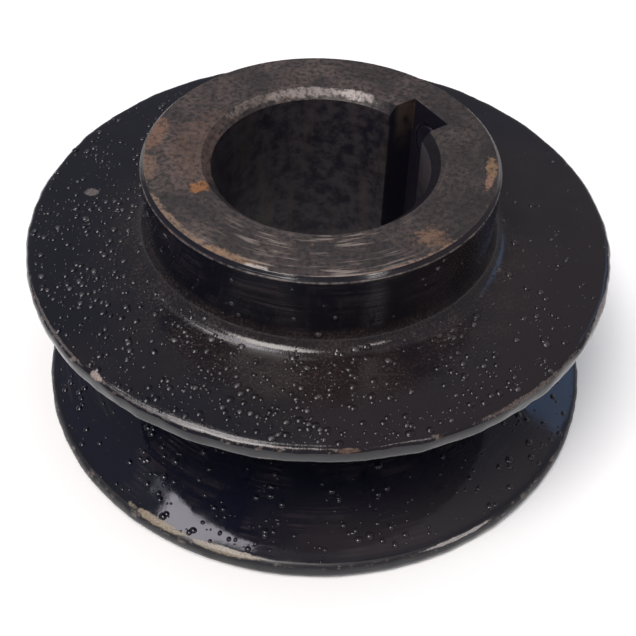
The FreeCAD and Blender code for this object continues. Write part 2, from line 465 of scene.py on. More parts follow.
    # lighter crowns on the beads: partly dust, partly a painted highlight
    crownDustAndHighlight = bothMasks(tree, crown.outputs["Fac"], dustiness.outputs["Fac"], gritShare)

    ragged = addNode(tree, "ShaderNodeMapRange", {"clamp": False, 3: -0.5, 4: 0.5}, {0: edgeNoise})
    grain = addNode(tree, "ShaderNodeMapRange", {1: 0.36, 2: 0.52, 3: 0.55, 4: 1.0}, {0: grit})
    spots = [(wornSpot(tree, at, ragged, grain, spot), spot["colour"]) for spot in enamelSpots]
    colour = layCoats(tree, chosen["coolBlack"], [
        (dustFilmAndSheen, chosen["warmBlack"]), (inGroove, chosen["grooveBlack"]), (lighterNearLip, chosen["grooveHaze"]),
        (dust, chosen["dustBrown"]), (scuffs, chosen["scuffGrey"]),
        (wornEdge, chosen["wornEdge"]), (rustyEdge, chosen["edgeRust"]), (dullEdge, chosen["dullEdge"]),
        (crownDustAndHighlight, chosen["crownGrey"]), *spots])

    # glossiest where nothing has touched it
    glossNoise = addNode(tree, "ShaderNodeTexNoise", {"Scale": 1 / chosen["glossSize"], "Detail": 5.0},
                         {"Vector": at["place"]})
    gloss = addNode(tree, "ShaderNodeMapRange",
                    {1: 0.35, 2: 0.70, 3: chosen["roughness"] - 0.05, 4: chosen["roughness"] + 0.08},
                    {0: glossNoise})
    # the rear flange's lip is rubbed dull, and so is the back of the hub's edge
    lip = bothMasks(tree, band(tree, at["height"], size["landWidth"] - 1.1, size["landWidth"] + 1.2, 0.2),
                    band(tree, at["radius"], rimRadius - 0.6, rimRadius + 0.6, 0.15))
    dull = addNode(tree, "ShaderNodeMath", {"operation": "MAXIMUM"}, {0: lip, 1: dullEdge})
    worn = addNode(tree, "ShaderNodeMath", {"operation": "MAXIMUM"}, {0: wornEdge, 1: dull})
    touched = addNode(tree, "ShaderNodeMath", {"operation": "MAXIMUM"}, {0: worn, 1: crownDustAndHighlight})
    for mask, _ in spots:
        touched = addNode(tree, "ShaderNodeMath", {"operation": "MAXIMUM"}, {0: touched, 1: mask})
    wiped = addNode(tree, "ShaderNodeMath", {"operation": "MULTIPLY_ADD", 1: -0.05}, {0: inGroove, 2: gloss})
    dusted = addNode(tree, "ShaderNodeMath", {"operation": "MULTIPLY_ADD", 1: 0.30}, {0: dust, 2: wiped})
    roughness = addNode(tree, "ShaderNodeMath", {"operation": "MULTIPLY_ADD", 1: 0.35, "use_clamp": True},
                        {0: touched, 2: dusted})

    # heights in mm: ripple of the enamel, sand under it on the flange, tool marks under it on the hub
    peel = addNode(tree, "ShaderNodeTexNoise", {"Scale": 1 / chosen["orangePeelSize"]},
                   {"Vector": at["place"]})
    peelShare = addNode(tree, "ShaderNodeMapRange", {3: 1.0, 4: 0.8}, {0: inGroove})
    peelHeight = addNode(tree, "ShaderNodeMath", {"operation": "MULTIPLY", 1: chosen["orangePeelHeight"]},
                         {0: bothMasks(tree, peel, peelShare)})
    sand = addNode(tree, "ShaderNodeTexNoise",
                   {"Scale": 1 / chosen["sandSize"], "Detail": 4.0, "Roughness": 0.7},
                   {"Vector": at["place"]})
    sandShare = addNode(tree, "ShaderNodeMapRange", {3: 0.08, 4: 1.0}, {0: onFlange})
    sanded = addNode(tree, "ShaderNodeMath", {"operation": "MULTIPLY_ADD", 1: chosen["sandHeight"]},
                     {0: bothMasks(tree, sand, sandShare), 2: peelHeight})
    relief = addNode(tree, "ShaderNodeMath", {"operation": "MULTIPLY_ADD", 1: chosen["toolMarkHeight"]},
                     {0: bothMasks(tree, marks, onHub), 2: sanded})
    shine = addNode(tree, "ShaderNodeMapRange", {3: 0.5, 4: 0.15}, {0: dullEdge})
    finishMaterial(tree, {"IOR": 1.5},
                   {"Base Color": colour, "Roughness": roughness, "Specular IOR Level": shine}, relief)
    return material


faceSettings = {
    "iron": "#302929",
    "ironLight": "#564945",
    "ironDark": "#161315",
    "mouthDark": "#15131a",      # painted shade on the mouth's chamfer, at the front and right
    "rust": "#69503f",
    "toolMark": "#8c8078",
    "roughness": 0.50,
    "turningPitch": 0.35,        # mm between tool marks, drawn coarser than the real 0.1 so that it shows
    "mottleSize": 0.62,          # mm
    "patchSize": 5.0,            # mm, from lighter to darker oxide
    "speckSize": 0.9,            # mm, specks of rust
}

# places on the hub's face, in mm; all at the height of the face
faceSpots = [
    # rust at the left rim
    {"azimuth": 170.0, "radius": 20.3, "along": 3.3, "across": 1.9, "ragged": 1.6, "strength": 0.85,
     "colour": "#6e5140"},
    {"azimuth": -171.5, "radius": 20.3, "along": 2.6, "across": 1.5, "ragged": 1.8, "strength": 0.8,
     "colour": "#6c5546"},
    # rust round the bore's mouth at the left
    {"azimuth": 176.0, "radius": 15.0, "along": 6.5, "across": 2.6, "ragged": 2.6, "strength": 0.34,
     "colour": "#6d5242"},
    {"azimuth": -154.5, "radius": 14.9, "along": 0.95, "across": 1.15, "ragged": 1.5, "strength": 0.65,
     "colour": "#96602f"},
    # the front edge, rubbed and rusted
    {"azimuth": -136.0, "radius": 20.2, "along": 7.0, "across": 0.7, "ragged": 2.0, "strength": 0.85,
     "colour": "#7c6656"},
    {"azimuth": -117.0, "radius": 20.1, "along": 3.4, "across": 0.9, "ragged": 2.0, "strength": 0.85,
     "colour": "#80664f"},
    {"azimuth": -107.8, "radius": 20.3, "along": 1.3, "across": 0.55, "ragged": 1.4, "strength": 0.9,
     "colour": "#aaa09a"},
    {"azimuth": -92.0, "radius": 20.5, "along": 6.0, "across": 0.35, "ragged": 2.2, "strength": 0.8,
     "colour": "#8a7f79"},
    {"azimuth": -60.0, "radius": 20.4, "along": 6.0, "across": 0.45, "ragged": 2.4, "strength": 0.8,
     "colour": "#7b6558"},
    {"azimuth": -48.1, "radius": 18.2, "along": 1.7, "across": 1.6, "ragged": 3.2, "strength": 0.55,
     "colour": "#7a5b43"},
    {"azimuth": -3.5, "radius": 19.5, "along": 1.9, "across": 0.6, "ragged": 2.4, "strength": 0.75,
     "colour": "#84684a"},
    {"azimuth": -12.0, "radius": 19.3, "along": 1.2, "across": 0.45, "ragged": 2.4, "strength": 0.7,
     "colour": "#8d6a58"},
    # pale worn iron on the mouth's chamfer, at the back, with a painted highlight
    {"azimuth": 72.0, "radius": 13.4, "along": 2.2, "across": 0.5, "ragged": 2.0, "strength": 0.75,
     "colour": "#a59b97"},
    {"azimuth": 101.0, "radius": 13.4, "along": 4.2, "across": 0.45, "ragged": 2.6, "strength": 0.6,
     "colour": "#958b87"},
    {"azimuth": 128.0, "radius": 13.5, "along": 4.0, "across": 0.4, "ragged": 2.6, "strength": 0.5,
     "colour": "#82766f"},
]
for spot in faceSpots:
    spot.update({"height": castingSizes["faceHeight"], "tall": 6.0})


def makeFaceIron():
    # grey iron faced in a lathe and left bare: brown-grey oxide, tool marks, light rust
    chosen = faceSettings
    material, tree = newMaterial("bareTurnedIron")
    at = ringPlace(tree)
    mottle = addNode(tree, "ShaderNodeTexNoise",
                     {"Scale": 1 / chosen["mottleSize"], "Detail": 6.0, "Roughness": 0.72},
                     {"Vector": at["place"]})
    patches = addNode(tree, "ShaderNodeTexNoise", {"Scale": 1 / chosen["patchSize"], "Detail": 5.0},
                      {"Vector": at["place"]})
    lightShare = addNode(tree, "ShaderNodeMapRange", {1: 0.40, 2: 0.66}, {0: patches})
    darkShare = addNode(tree, "ShaderNodeMapRange", {1: 0.55, 2: 0.42, 3: 0.0, 4: 0.95}, {0: mottle})
    # darker towards the front and right, lighter at the back and left
    frontRightSide = addNode(tree, "ShaderNodeVectorMath", {"operation": "DOT_PRODUCT", 1: (0.75, -0.65, 0.0)},
                    {0: at["place"]})
    frontRightShare = addNode(tree, "ShaderNodeMapRange", {1: -12.0, 2: 15.0, 3: 0.0, 4: 0.50},
                         {0: frontRightSide.outputs["Value"]})

    # the tool's path shows as fine pale arcs at the front
    marks = toolMarks(tree, at, chosen["turningPitch"], 1.6)
    backward = addNode(tree, "ShaderNodeMath", {"operation": "SINE"}, {0: at["azimuth"]})   # -1 at the front
    frontShare = addNode(tree, "ShaderNodeMapRange", {1: -0.70, 2: -0.96, 3: 0.10, 4: 1.0}, {0: backward})
    markShare = addNode(tree, "ShaderNodeMapRange", {1: 0.54, 2: 0.70, 3: 0.0, 4: 0.70}, {0: marks})
    paleMarks = bothMasks(tree, markShare, frontShare)
    specks = addNode(tree, "ShaderNodeTexNoise",
                     {"Scale": 1 / chosen["speckSize"], "Detail": 4.0, "Roughness": 0.65},
                     {"Vector": at["place"]})
    speckShare = addNode(tree, "ShaderNodeMapRange", {1: 0.63, 2: 0.72, 3: 0.0, 4: 0.6}, {0: specks})
    ragged = addNode(tree, "ShaderNodeMapRange", {"clamp": False, 3: -0.5, 4: 0.5}, {0: specks})
    grain = addNode(tree, "ShaderNodeMapRange", {1: 0.40, 2: 0.54, 3: 0.30, 4: 1.0}, {0: mottle})
    spots = [(wornSpot(tree, at, ragged, grain, spot), spot["colour"]) for spot in faceSpots]

    # painted shade in the mouth, from beside the keyway round the right to the front
    shadeSide = addNode(tree, "ShaderNodeVectorMath", {"operation": "DOT_PRODUCT", 1: (0.99, -0.16, 0.0)},
                    {0: at["place"]})
    shadeSideShare = addNode(tree, "ShaderNodeMapRange", {1: 3.0, 2: 6.5, 3: 0.0, 4: 0.9},
                         {0: shadeSide.outputs["Value"]})
    mouth = castingSizes["boreRadius"] + castingSizes["boreChamfer"]
    inMouth = addNode(tree, "ShaderNodeMapRange", {1: mouth + 0.03, 2: mouth - 0.09}, {0: at["radius"]})
    mouthShade = bothMasks(tree, shadeSideShare, inMouth)
    colour = layCoats(tree, chosen["iron"], [
        (lightShare, chosen["ironLight"]), (darkShare, chosen["ironDark"]), (frontRightShare, chosen["ironDark"]),
        (paleMarks, chosen["toolMark"]), (speckShare, chosen["rust"]), *spots, (mouthShade, chosen["mouthDark"])])

    roughness = addNode(tree, "ShaderNodeMapRange",
                        {1: 0.3, 2: 0.7, 3: chosen["roughness"] + 0.12, 4: chosen["roughness"] - 0.10},
                        {0: mottle})
    mottleHeight = addNode(tree, "ShaderNodeMath", {"operation": "MULTIPLY", 1: 0.05}, {0: mottle})
    relief = addNode(tree, "ShaderNodeMath", {"operation": "MULTIPLY_ADD", 1: 0.03},
                     {0: marks, 2: mottleHeight})
    # less shine where the shade is painted
    shine = addNode(tree, "ShaderNodeMapRange", {3: 0.5, 4: 0.12}, {0: mouthShade})
    finishMaterial(tree, {"IOR": 1.5, "Metallic": 0.15},
                   {"Base Color": colour, "Roughness": roughness, "Specular IOR Level": shine}, relief)
    return material


boreSettings = {
    "iron": "#433e43",
    "ironDark": "#211f2a",
    "ironBrown": "#574c46",
    "keywayDark": "#1f1d29",     # darker in the keyway
    "keywayBrown": "#5e5046",
    "rightWall": "#6b646a",      # painted light on the right wall near the mouth
    "roughness": 0.42,
    "mottleSize": 1.6,           # mm
    "streakSize": 2.4,           # mm across the axis, stretched along it by the reamer
}


def makeBoreIron():
    # bored and broached iron, dark with old oil, faintly streaked along the axis
    chosen = boreSettings
    bore = castingSizes["boreRadius"]
    face = castingSizes["faceHeight"]
    material, tree = newMaterial("oiledBoreIron")
    at = ringPlace(tree)
    mottle = addNode(tree, "ShaderNodeTexNoise",
                     {"Scale": 1 / chosen["mottleSize"], "Detail": 6.0, "Roughness": 0.68},
                     {"Vector": at["place"]})
    darkShare = addNode(tree, "ShaderNodeMapRange", {1: 0.42, 2: 0.60}, {0: mottle})
    streakPlace = addNode(tree, "ShaderNodeVectorMath", {"operation": "MULTIPLY", 1: (1.0, 1.0, 0.15)},
                          {0: at["place"]})
    streaks = addNode(tree, "ShaderNodeTexNoise", {"Scale": 1 / chosen["streakSize"], "Detail": 5.0},
                      {"Vector": streakPlace})
    streakShare = addNode(tree, "ShaderNodeMapRange", {1: 0.50, 2: 0.72, 3: 0.0, 4: 0.55}, {0: streaks})
    # the keyway is darker, but for the upper end of its left wall
    inKeyway = addNode(tree, "ShaderNodeMapRange", {1: bore + 0.05, 2: bore + 0.4, 3: 0.0, 4: 0.92},
                       {0: at["radius"]})
    keywayTurn = math.radians(castingSizes["keywayAzimuth"])
    acrossKeyway = (-math.sin(keywayTurn), math.cos(keywayTurn), 0)
    aside = addNode(tree, "ShaderNodeVectorMath", {"operation": "DOT_PRODUCT", 1: acrossKeyway},
                    {0: at["place"]})
    wall = castingSizes["keywayWidth"] / 2
    leftWall = addNode(tree, "ShaderNodeMapRange", {1: wall - 0.275, 2: wall - 0.075},
                       {0: aside.outputs["Value"]})
    outerWall = addNode(tree, "ShaderNodeMapRange", {1: bore + 0.7, 2: bore + 1.5}, {0: at["radius"]})
    upper = addNode(tree, "ShaderNodeMapRange", {1: face - 7.5, 2: face - 1.5, 3: 0.0, 4: 0.9},
                    {0: at["height"]})
    mottled = addNode(tree, "ShaderNodeMapRange", {1: 0.36, 2: 0.54}, {0: mottle})
    brownWall = bothMasks(tree, leftWall, outerWall, upper, mottled)
    # painted light: the bore's right wall near the mouth, lit by the light from the left
    rightward = addNode(tree, "ShaderNodeSeparateXYZ", {}, {0: at["place"]}).outputs["X"]
    rightShare = addNode(tree, "ShaderNodeMapRange", {1: bore - 1.7, 2: bore - 0.5, 3: 0.0, 4: 0.8},
                         {0: rightward})
    onBore = addNode(tree, "ShaderNodeMapRange", {1: bore + 0.25, 2: bore + 0.10}, {0: at["radius"]})
    rightWall = bothMasks(tree, rightShare, onBore, upper)
    colour = layCoats(tree, chosen["iron"], [
        (darkShare, chosen["ironDark"]), (streakShare, chosen["ironBrown"]), (inKeyway, chosen["keywayDark"]),
        (brownWall, chosen["keywayBrown"]), (rightWall, chosen["rightWall"])])
    relief = addNode(tree, "ShaderNodeMath", {"operation": "MULTIPLY", 1: 0.03}, {0: mottle})
    finishMaterial(tree, {"IOR": 1.5, "Metallic": 0.3, "Roughness": chosen["roughness"]},
                   {"Base Color": colour}, relief)
    return material


enamel = makeEnamel()
faceIron = makeFaceIron()
boreIron = makeBoreIron()
print("finishes of the casting made")


sweepRadius = 1.0   # mm, of the circle that the casting's section is swept along


def makeCastingTree():
    # turns the profile about Z, roughens what stayed as cast, then cuts the keyway and the tapped hole
    lengths = ("Rim Radius", "Rim Width", "Hub Radius", "Hub Face Height", "Mouth Radius",
               "Keyway Width", "Keyway Floor", "Keyway Azimuth", "Screw Height", "Screw Hole Radius",
               "Thread Depth", "Thread Pitch", "Profile Step", "Waviness", "Turned Waviness", "Waviness Size",
               "Edge Wobble", "Edge Wobble Size")
    inputs = {label: ("NodeSocketFloat", 0.0) for label in lengths}
    for label in ("Turn Steps", "Corner Steps", "Seed"):
        inputs[label] = ("NodeSocketInt", 0)
    for label in ("Enamel", "Face Iron", "Bore Iron"):
        inputs[label] = ("NodeSocketMaterial", None)
    tree, given, result = newGeometryTree("turnedPulleyCasting", inputs)
    value = given.outputs

    # the profile: round its corners, then divide every straight run into even steps
    outline = addNode(tree, "GeometryNodeMeshToCurve", {}, {"Mesh": value["Geometry"]})
    rounding = addNode(tree, "GeometryNodeInputNamedAttribute", {"data_type": "FLOAT", "Name": "rounding"})
    rounded = addNode(tree, "GeometryNodeFilletCurve", {"mode": "POLY"},
                      {"Curve": outline, "Radius": rounding.outputs["Attribute"],
                       "Count": value["Corner Steps"]})
    position = addNode(tree, "GeometryNodeInputPosition")
    nextPoint = addNode(tree, "GeometryNodeOffsetPointInCurve", {"Offset": 1})
    nextPlace = addNode(tree, "GeometryNodeFieldAtIndex", {"data_type": "FLOAT_VECTOR", "domain": "POINT"},
                        {"Value": position, "Index": nextPoint.outputs["Point Index"]})
    run = addNode(tree, "ShaderNodeVectorMath", {"operation": "DISTANCE"}, {0: position, 1: nextPlace})
    cuts = addNode(tree, "ShaderNodeMath", {"operation": "DIVIDE"},
                   {0: run.outputs["Value"], 1: value["Profile Step"]})
    wholeCuts = addNode(tree, "ShaderNodeMath", {"operation": "FLOOR"}, {0: cuts})
    divided = addNode(tree, "GeometryNodeSubdivideCurve", {}, {"Curve": rounded, "Cuts": wholeCuts})
    path = addNode(tree, "GeometryNodeCurvePrimitiveCircle", {"Radius": sweepRadius * millimetre},
                   {"Resolution": value["Turn Steps"]})
    swept = addNode(tree, "GeometryNodeCurveToMesh", {},
                    {"Curve": path.outputs["Curve"], "Profile Curve": divided})
    turned = addNode(tree, "GeometryNodeFlipFaces", {}, {"Mesh": swept})   # the sweep leaves them inside out

    # how far a point is from the axis, and masks for what was left as cast
    flat = addNode(tree, "ShaderNodeVectorMath", {"operation": "MULTIPLY", 1: (1, 1, 0)}, {0: position})
    radius = addNode(tree, "ShaderNodeVectorMath", {"operation": "LENGTH"}, {0: flat}).outputs["Value"]
    height = addNode(tree, "ShaderNodeSeparateXYZ", {}, {0: position}).outputs["Z"]
    outsideHub = addNode(tree, "ShaderNodeMath", {"operation": "SUBTRACT"},
                         {0: radius, 1: value["Hub Radius"]})
    castOut = addNode(tree, "ShaderNodeMapRange", {1: 0.0, 2: 2 * millimetre}, {0: outsideHub})
    offFloor = addNode(tree, "ShaderNodeMapRange", {1: 0.2 * millimetre, 2: 1.2 * millimetre}, {0: height})
    belowRim = addNode(tree, "ShaderNodeMath", {"operation": "SUBTRACT"}, {0: value["Rim Width"], 1: height})
    groove = addNode(tree, "ShaderNodeMapRange", {1: 0.6 * millimetre, 2: 2.0 * millimetre, 3: 1.0},
                     {0: belowRim, 4: value["Turned Waviness"]})
    castShare = addNode(tree, "ShaderNodeMath", {"operation": "MULTIPLY"}, {0: castOut, 1: groove})
    cast = addNode(tree, "ShaderNodeMath", {"operation": "MULTIPLY"}, {0: castShare, 1: offFloor})
    waveScale = addNode(tree, "ShaderNodeMath", {"operation": "DIVIDE", 0: 1.0}, {1: value["Waviness Size"]})
    # each seed reads the noise from another place
    seeded = addNode(tree, "ShaderNodeVectorMath", {"operation": "SCALE", 0: (0.31, 0.17, 0.23)},
                     {"Scale": value["Seed"]})
    seededPlace = addNode(tree, "ShaderNodeVectorMath", {"operation": "ADD"}, {0: position, 1: seeded})
    wave = addNode(tree, "ShaderNodeTexNoise", {"Detail": 3.0}, {"Vector": seededPlace, "Scale": waveScale})
    waveOut = addNode(tree, "ShaderNodeMapRange", {1: 0.0, 2: 1.0, 3: -2.0, 4: 2.0}, {0: wave})
    waveFar = addNode(tree, "ShaderNodeMath", {"operation": "MULTIPLY"}, {0: waveOut, 1: value["Waviness"]})
    waveCast = addNode(tree, "ShaderNodeMath", {"operation": "MULTIPLY"}, {0: waveFar, 1: cast})
    normal = addNode(tree, "GeometryNodeInputNormal")
    waveOffset = addNode(tree, "ShaderNodeVectorMath", {"operation": "SCALE"}, {0: normal, "Scale": waveCast})
    waved = addNode(tree, "GeometryNodeSetPosition", {}, {"Geometry": turned, "Offset": waveOffset})

    # the rim's outline wanders and is nibbled
    fromRim = addNode(tree, "ShaderNodeMath", {"operation": "SUBTRACT"}, {0: value["Rim Radius"], 1: radius})
    rimShare = addNode(tree, "ShaderNodeMapRange", {1: 1.6 * millimetre, 2: 0.0}, {0: fromRim})
    wobbleScale = addNode(tree, "ShaderNodeMath", {"operation": "DIVIDE", 0: 1.0},
                          {1: value["Edge Wobble Size"]})
    wobble = addNode(tree, "ShaderNodeTexNoise", {"Detail": 4.0, "Roughness": 0.6},
                     {"Vector": seededPlace, "Scale": wobbleScale})
    wobbleOut = addNode(tree, "ShaderNodeMapRange", {1: 0.3, 2: 0.7, 3: -1.0, 4: 0.5}, {0: wobble})
    wobbleFar = addNode(tree, "ShaderNodeMath", {"operation": "MULTIPLY"},
                        {0: wobbleOut, 1: value["Edge Wobble"]})
    wobbleRim = addNode(tree, "ShaderNodeMath", {"operation": "MULTIPLY"}, {0: wobbleFar, 1: rimShare})
    wobbleCast = addNode(tree, "ShaderNodeMath", {"operation": "MULTIPLY"}, {0: wobbleRim, 1: offFloor})
    outward = addNode(tree, "ShaderNodeVectorMath", {"operation": "NORMALIZE"}, {0: flat})
    wobbleOffset = addNode(tree, "ShaderNodeVectorMath", {"operation": "SCALE"},
                           {0: outward, "Scale": wobbleCast})
    wobbled = addNode(tree, "GeometryNodeSetPosition", {}, {"Geometry": waved, "Offset": wobbleOffset})

    # the keyway, a broached slot right through
    slotSize = addNode(tree, "ShaderNodeCombineXYZ", {2: 0.1},
                       {0: value["Keyway Floor"], 1: value["Keyway Width"]})
    slot = addNode(tree, "GeometryNodeMeshCube", {}, {"Size": slotSize})
    halfFloor = addNode(tree, "ShaderNodeMath", {"operation": "MULTIPLY", 1: 0.5}, {0: value["Keyway Floor"]})
    slotShift = addNode(tree, "ShaderNodeCombineXYZ", {}, {0: halfFloor})
    slotOut = addNode(tree, "GeometryNodeTransform", {}, {"Geometry": slot, "Translation": slotShift})
    turnBy = addNode(tree, "ShaderNodeCombineXYZ", {}, {2: value["Keyway Azimuth"]})
    slotTurned = addNode(tree, "GeometryNodeTransform", {}, {"Geometry": slotOut, "Rotation": turnBy})

    # the tapped hole, from inside the keyway to outside the hub
    tapStart = addNode(tree, "ShaderNodeMath", {"operation": "SUBTRACT", 1: 2 * millimetre},
                       {0: value["Keyway Floor"]})
    tapEnd = addNode(tree, "ShaderNodeMath", {"operation": "ADD", 1: 2 * millimetre},
                     {0: value["Hub Radius"]})
    # its ends are cut off square, so their radius is far past the thread's
    tap = addNode(tree, "GeometryNodeGroup", {"node_tree": threadTree, "Facets": threadSettings["facets"],
                                              "Steps Per Turn": threadSettings["stepsPerTurn"],
                                              "End Radius": 10 * millimetre},
                  {"Start": tapStart, "End": tapEnd, "Major Radius": value["Screw Hole Radius"],
                   "Thread Depth": value["Thread Depth"], "Pitch": value["Thread Pitch"]})
    tapTurn = addNode(tree, "ShaderNodeCombineXYZ", {1: math.pi / 2}, {2: value["Keyway Azimuth"]})
    tapLift = addNode(tree, "ShaderNodeCombineXYZ", {}, {2: value["Screw Height"]})
    tapPlaced = addNode(tree, "GeometryNodeTransform", {},
                        {"Geometry": tap, "Rotation": tapTurn, "Translation": tapLift})
    cut = addNode(tree, "GeometryNodeMeshBoolean", {"operation": "DIFFERENCE", "solver": "MANIFOLD"},
                  {"Mesh 1": wobbled})
    tree.links.new(slotTurned.outputs[0], cut.inputs["Mesh 2"])
    tree.links.new(tapPlaced.outputs[0], cut.inputs["Mesh 2"])

    # enamel everywhere, but for the hub's face, the middle of the rear face, the bore and the keyway
    painted = addNode(tree, "GeometryNodeSetMaterial", {}, {"Geometry": cut, "Material": value["Enamel"]})
    belowFace = addNode(tree, "ShaderNodeMath", {"operation": "SUBTRACT"},
                        {0: value["Hub Face Height"], 1: height})
    onFace = addNode(tree, "ShaderNodeMath", {"operation": "LESS_THAN", 1: 0.02 * millimetre}, {0: belowFace})
    onRear = addNode(tree, "ShaderNodeMath", {"operation": "LESS_THAN", 1: 0.02 * millimetre}, {0: height})
    inHub = addNode(tree, "ShaderNodeMath", {"operation": "LESS_THAN"}, {0: radius, 1: value["Hub Radius"]})
    rearHub = addNode(tree, "ShaderNodeMath", {"operation": "MULTIPLY"}, {0: onRear, 1: inHub})
    inMouth = addNode(tree, "ShaderNodeMath", {"operation": "LESS_THAN"},
                      {0: radius, 1: value["Mouth Radius"]})
    ends = addNode(tree, "ShaderNodeMath", {"operation": "MAXIMUM"}, {0: onFace, 1: rearHub})
    bare = addNode(tree, "ShaderNodeMath", {"operation": "MAXIMUM"}, {0: ends, 1: inMouth})
    faced = addNode(tree, "GeometryNodeSetMaterial", {},
                    {"Geometry": painted, "Selection": bare, "Material": value["Face Iron"]})
    # the keyway's floor is flat, so its corners lie a little further out than its middle
    corners = addNode(tree, "ShaderNodeMath", {"operation": "MULTIPLY", 1: 1.05}, {0: value["Keyway Floor"]})
    inFloor = addNode(tree, "ShaderNodeMath", {"operation": "LESS_THAN"}, {0: radius, 1: corners})
    upright = addNode(tree, "ShaderNodeSeparateXYZ", {}, {0: normal}).outputs["Z"]
    steepness = addNode(tree, "ShaderNodeMath", {"operation": "ABSOLUTE"}, {0: upright})
    steep = addNode(tree, "ShaderNodeMath", {"operation": "LESS_THAN", 1: 0.6}, {0: steepness})
    inBore = addNode(tree, "ShaderNodeMath", {"operation": "MULTIPLY"}, {0: inFloor, 1: steep})
    bored = addNode(tree, "GeometryNodeSetMaterial", {},
                    {"Geometry": faced, "Selection": inBore, "Material": value["Bore Iron"]})
    solid = addNode(tree, "GeometryNodeRealizeInstances", {}, {"Geometry": bored})
    tree.links.new(solid.outputs[0], result.inputs[0])
    return tree


def makeProfile():
    # corner points of the casting's section, each with its rounding; X is the distance from the circle that
    # the section is swept along, Y the height, downwards
    size = castingSizes
    mouth = size["boreRadius"] + size["boreChamfer"]
    floorRadius = size["rimRadius"] - size["grooveDepth"]
    rise = size["grooveDepth"] * math.tan(math.radians(size["grooveAngle"] / 2))
    face = size["faceHeight"]
    corners = [
        (mouth, 0, 0),
        (size["rimRadius"], 0, size["rimEdgeRounding"]),
        (size["rimRadius"], size["landWidth"], size["grooveLipRounding"]),
        (floorRadius, size["landWidth"] + rise, size["grooveFloorRounding"]),
        (floorRadius, size["rimWidth"] - size["landWidth"] - rise, size["grooveFloorRounding"]),
        (size["rimRadius"], size["rimWidth"] - size["landWidth"], size["grooveLipRounding"]),
        (size["rimRadius"], size["rimWidth"], size["rimEdgeRounding"]),
        (size["hubRadius"], size["rimWidth"], size["hubBaseRounding"]),
        (size["hubRadius"], face - size["hubEdgeChamfer"], 0),
        (size["hubRadius"] - size["hubEdgeChamfer"], face, 0),
        (mouth, face, 0),
        (size["boreRadius"], face - size["boreChamfer"], 0),
        (size["boreRadius"], size["boreChamfer"], 0),
    ]
    mesh = bpy.data.meshes.new("castingProfile")
    points = [((radius - sweepRadius) * millimetre, -height * millimetre, 0) for radius, height, _ in corners]
    mesh.from_pydata(points, [(index, (index + 1) % len(points)) for index in range(len(points))], [])
    rounding = mesh.attributes.new("rounding", "FLOAT", "POINT")
    for index, (_, _, amount) in enumerate(corners):
        rounding.data[index].value = amount * millimetre
    return bpy.data.objects.new("castingProfile", mesh)


def buildCasting():
    size = castingSizes
    profile = makeProfile()
    bpy.context.scene.collection.objects.link(profile)
    casting = bakedObject("pulleyCasting", profile, makeCastingTree(), {
        "Rim Radius": size["rimRadius"] * millimetre,
        "Rim Width": size["rimWidth"] * millimetre,
        "Hub Radius": size["hubRadius"] * millimetre,
        "Hub Face Height": size["faceHeight"] * millimetre,
        "Mouth Radius": (size["boreRadius"] + size["boreChamfer"]) * millimetre,
        "Keyway Width": size["keywayWidth"] * millimetre,
        "Keyway Floor": size["keywayFloor"] * millimetre,
        "Keyway Azimuth": math.radians(size["keywayAzimuth"]),
        "Screw Height": size["screwHeight"] * millimetre,
        "Screw Hole Radius": (threadSettings["majorRadius"] + threadSettings["clearance"]) * millimetre,
        "Thread Depth": threadSettings["depth"] * millimetre,
        "Thread Pitch": threadSettings["pitch"] * millimetre,
        "Profile Step": size["profileStep"] * millimetre,
        "Waviness": size["waviness"] * millimetre,
        "Turned Waviness": size["turnedWaviness"],
        "Waviness Size": size["wavinessSize"] * millimetre,
        "Edge Wobble": size["edgeWobble"] * millimetre,
        "Edge Wobble Size": size["edgeWobbleSize"] * millimetre,
        "Turn Steps": size["turnSteps"], "Corner Steps": size["cornerSteps"], "Seed": size["seed"],
        "Enamel": enamel, "Face Iron": faceIron, "Bore Iron": boreIron,
    })
    bpy.data.objects.remove(profile)
    mesh = casting.data
    mesh.shade_smooth()
    mesh.set_sharp_from_angle(angle=math.radians(32))
    return casting


casting = buildCasting()
print("casting turned:", len(casting.data.polygons), "faces")


# beads and blisters of enamel on the cast and turned faces
beadSettings = {
    "flangeBeads": 1.00,      # per square mm
    "grooveBeads": 0.34,
    "hubBeads": 0.06,
    "smallest": 0.11,         # mm, radius
    "largest": 0.52,
    "grooveGrowth": 1.15,     # beads in the groove are this much larger
    "flatness": 0.27,         # height over half width
    "grooveFlatness": 0.46,
    "foot": 0.10,             # how deep a bead reaches into the face, over its half width
    "grooveDustiness": 0.12,  # beads in the groove are clean, with little painted highlight
    "driftSize": 5.0,         # mm, from one drift of them to the next
    "seed": 11,
}


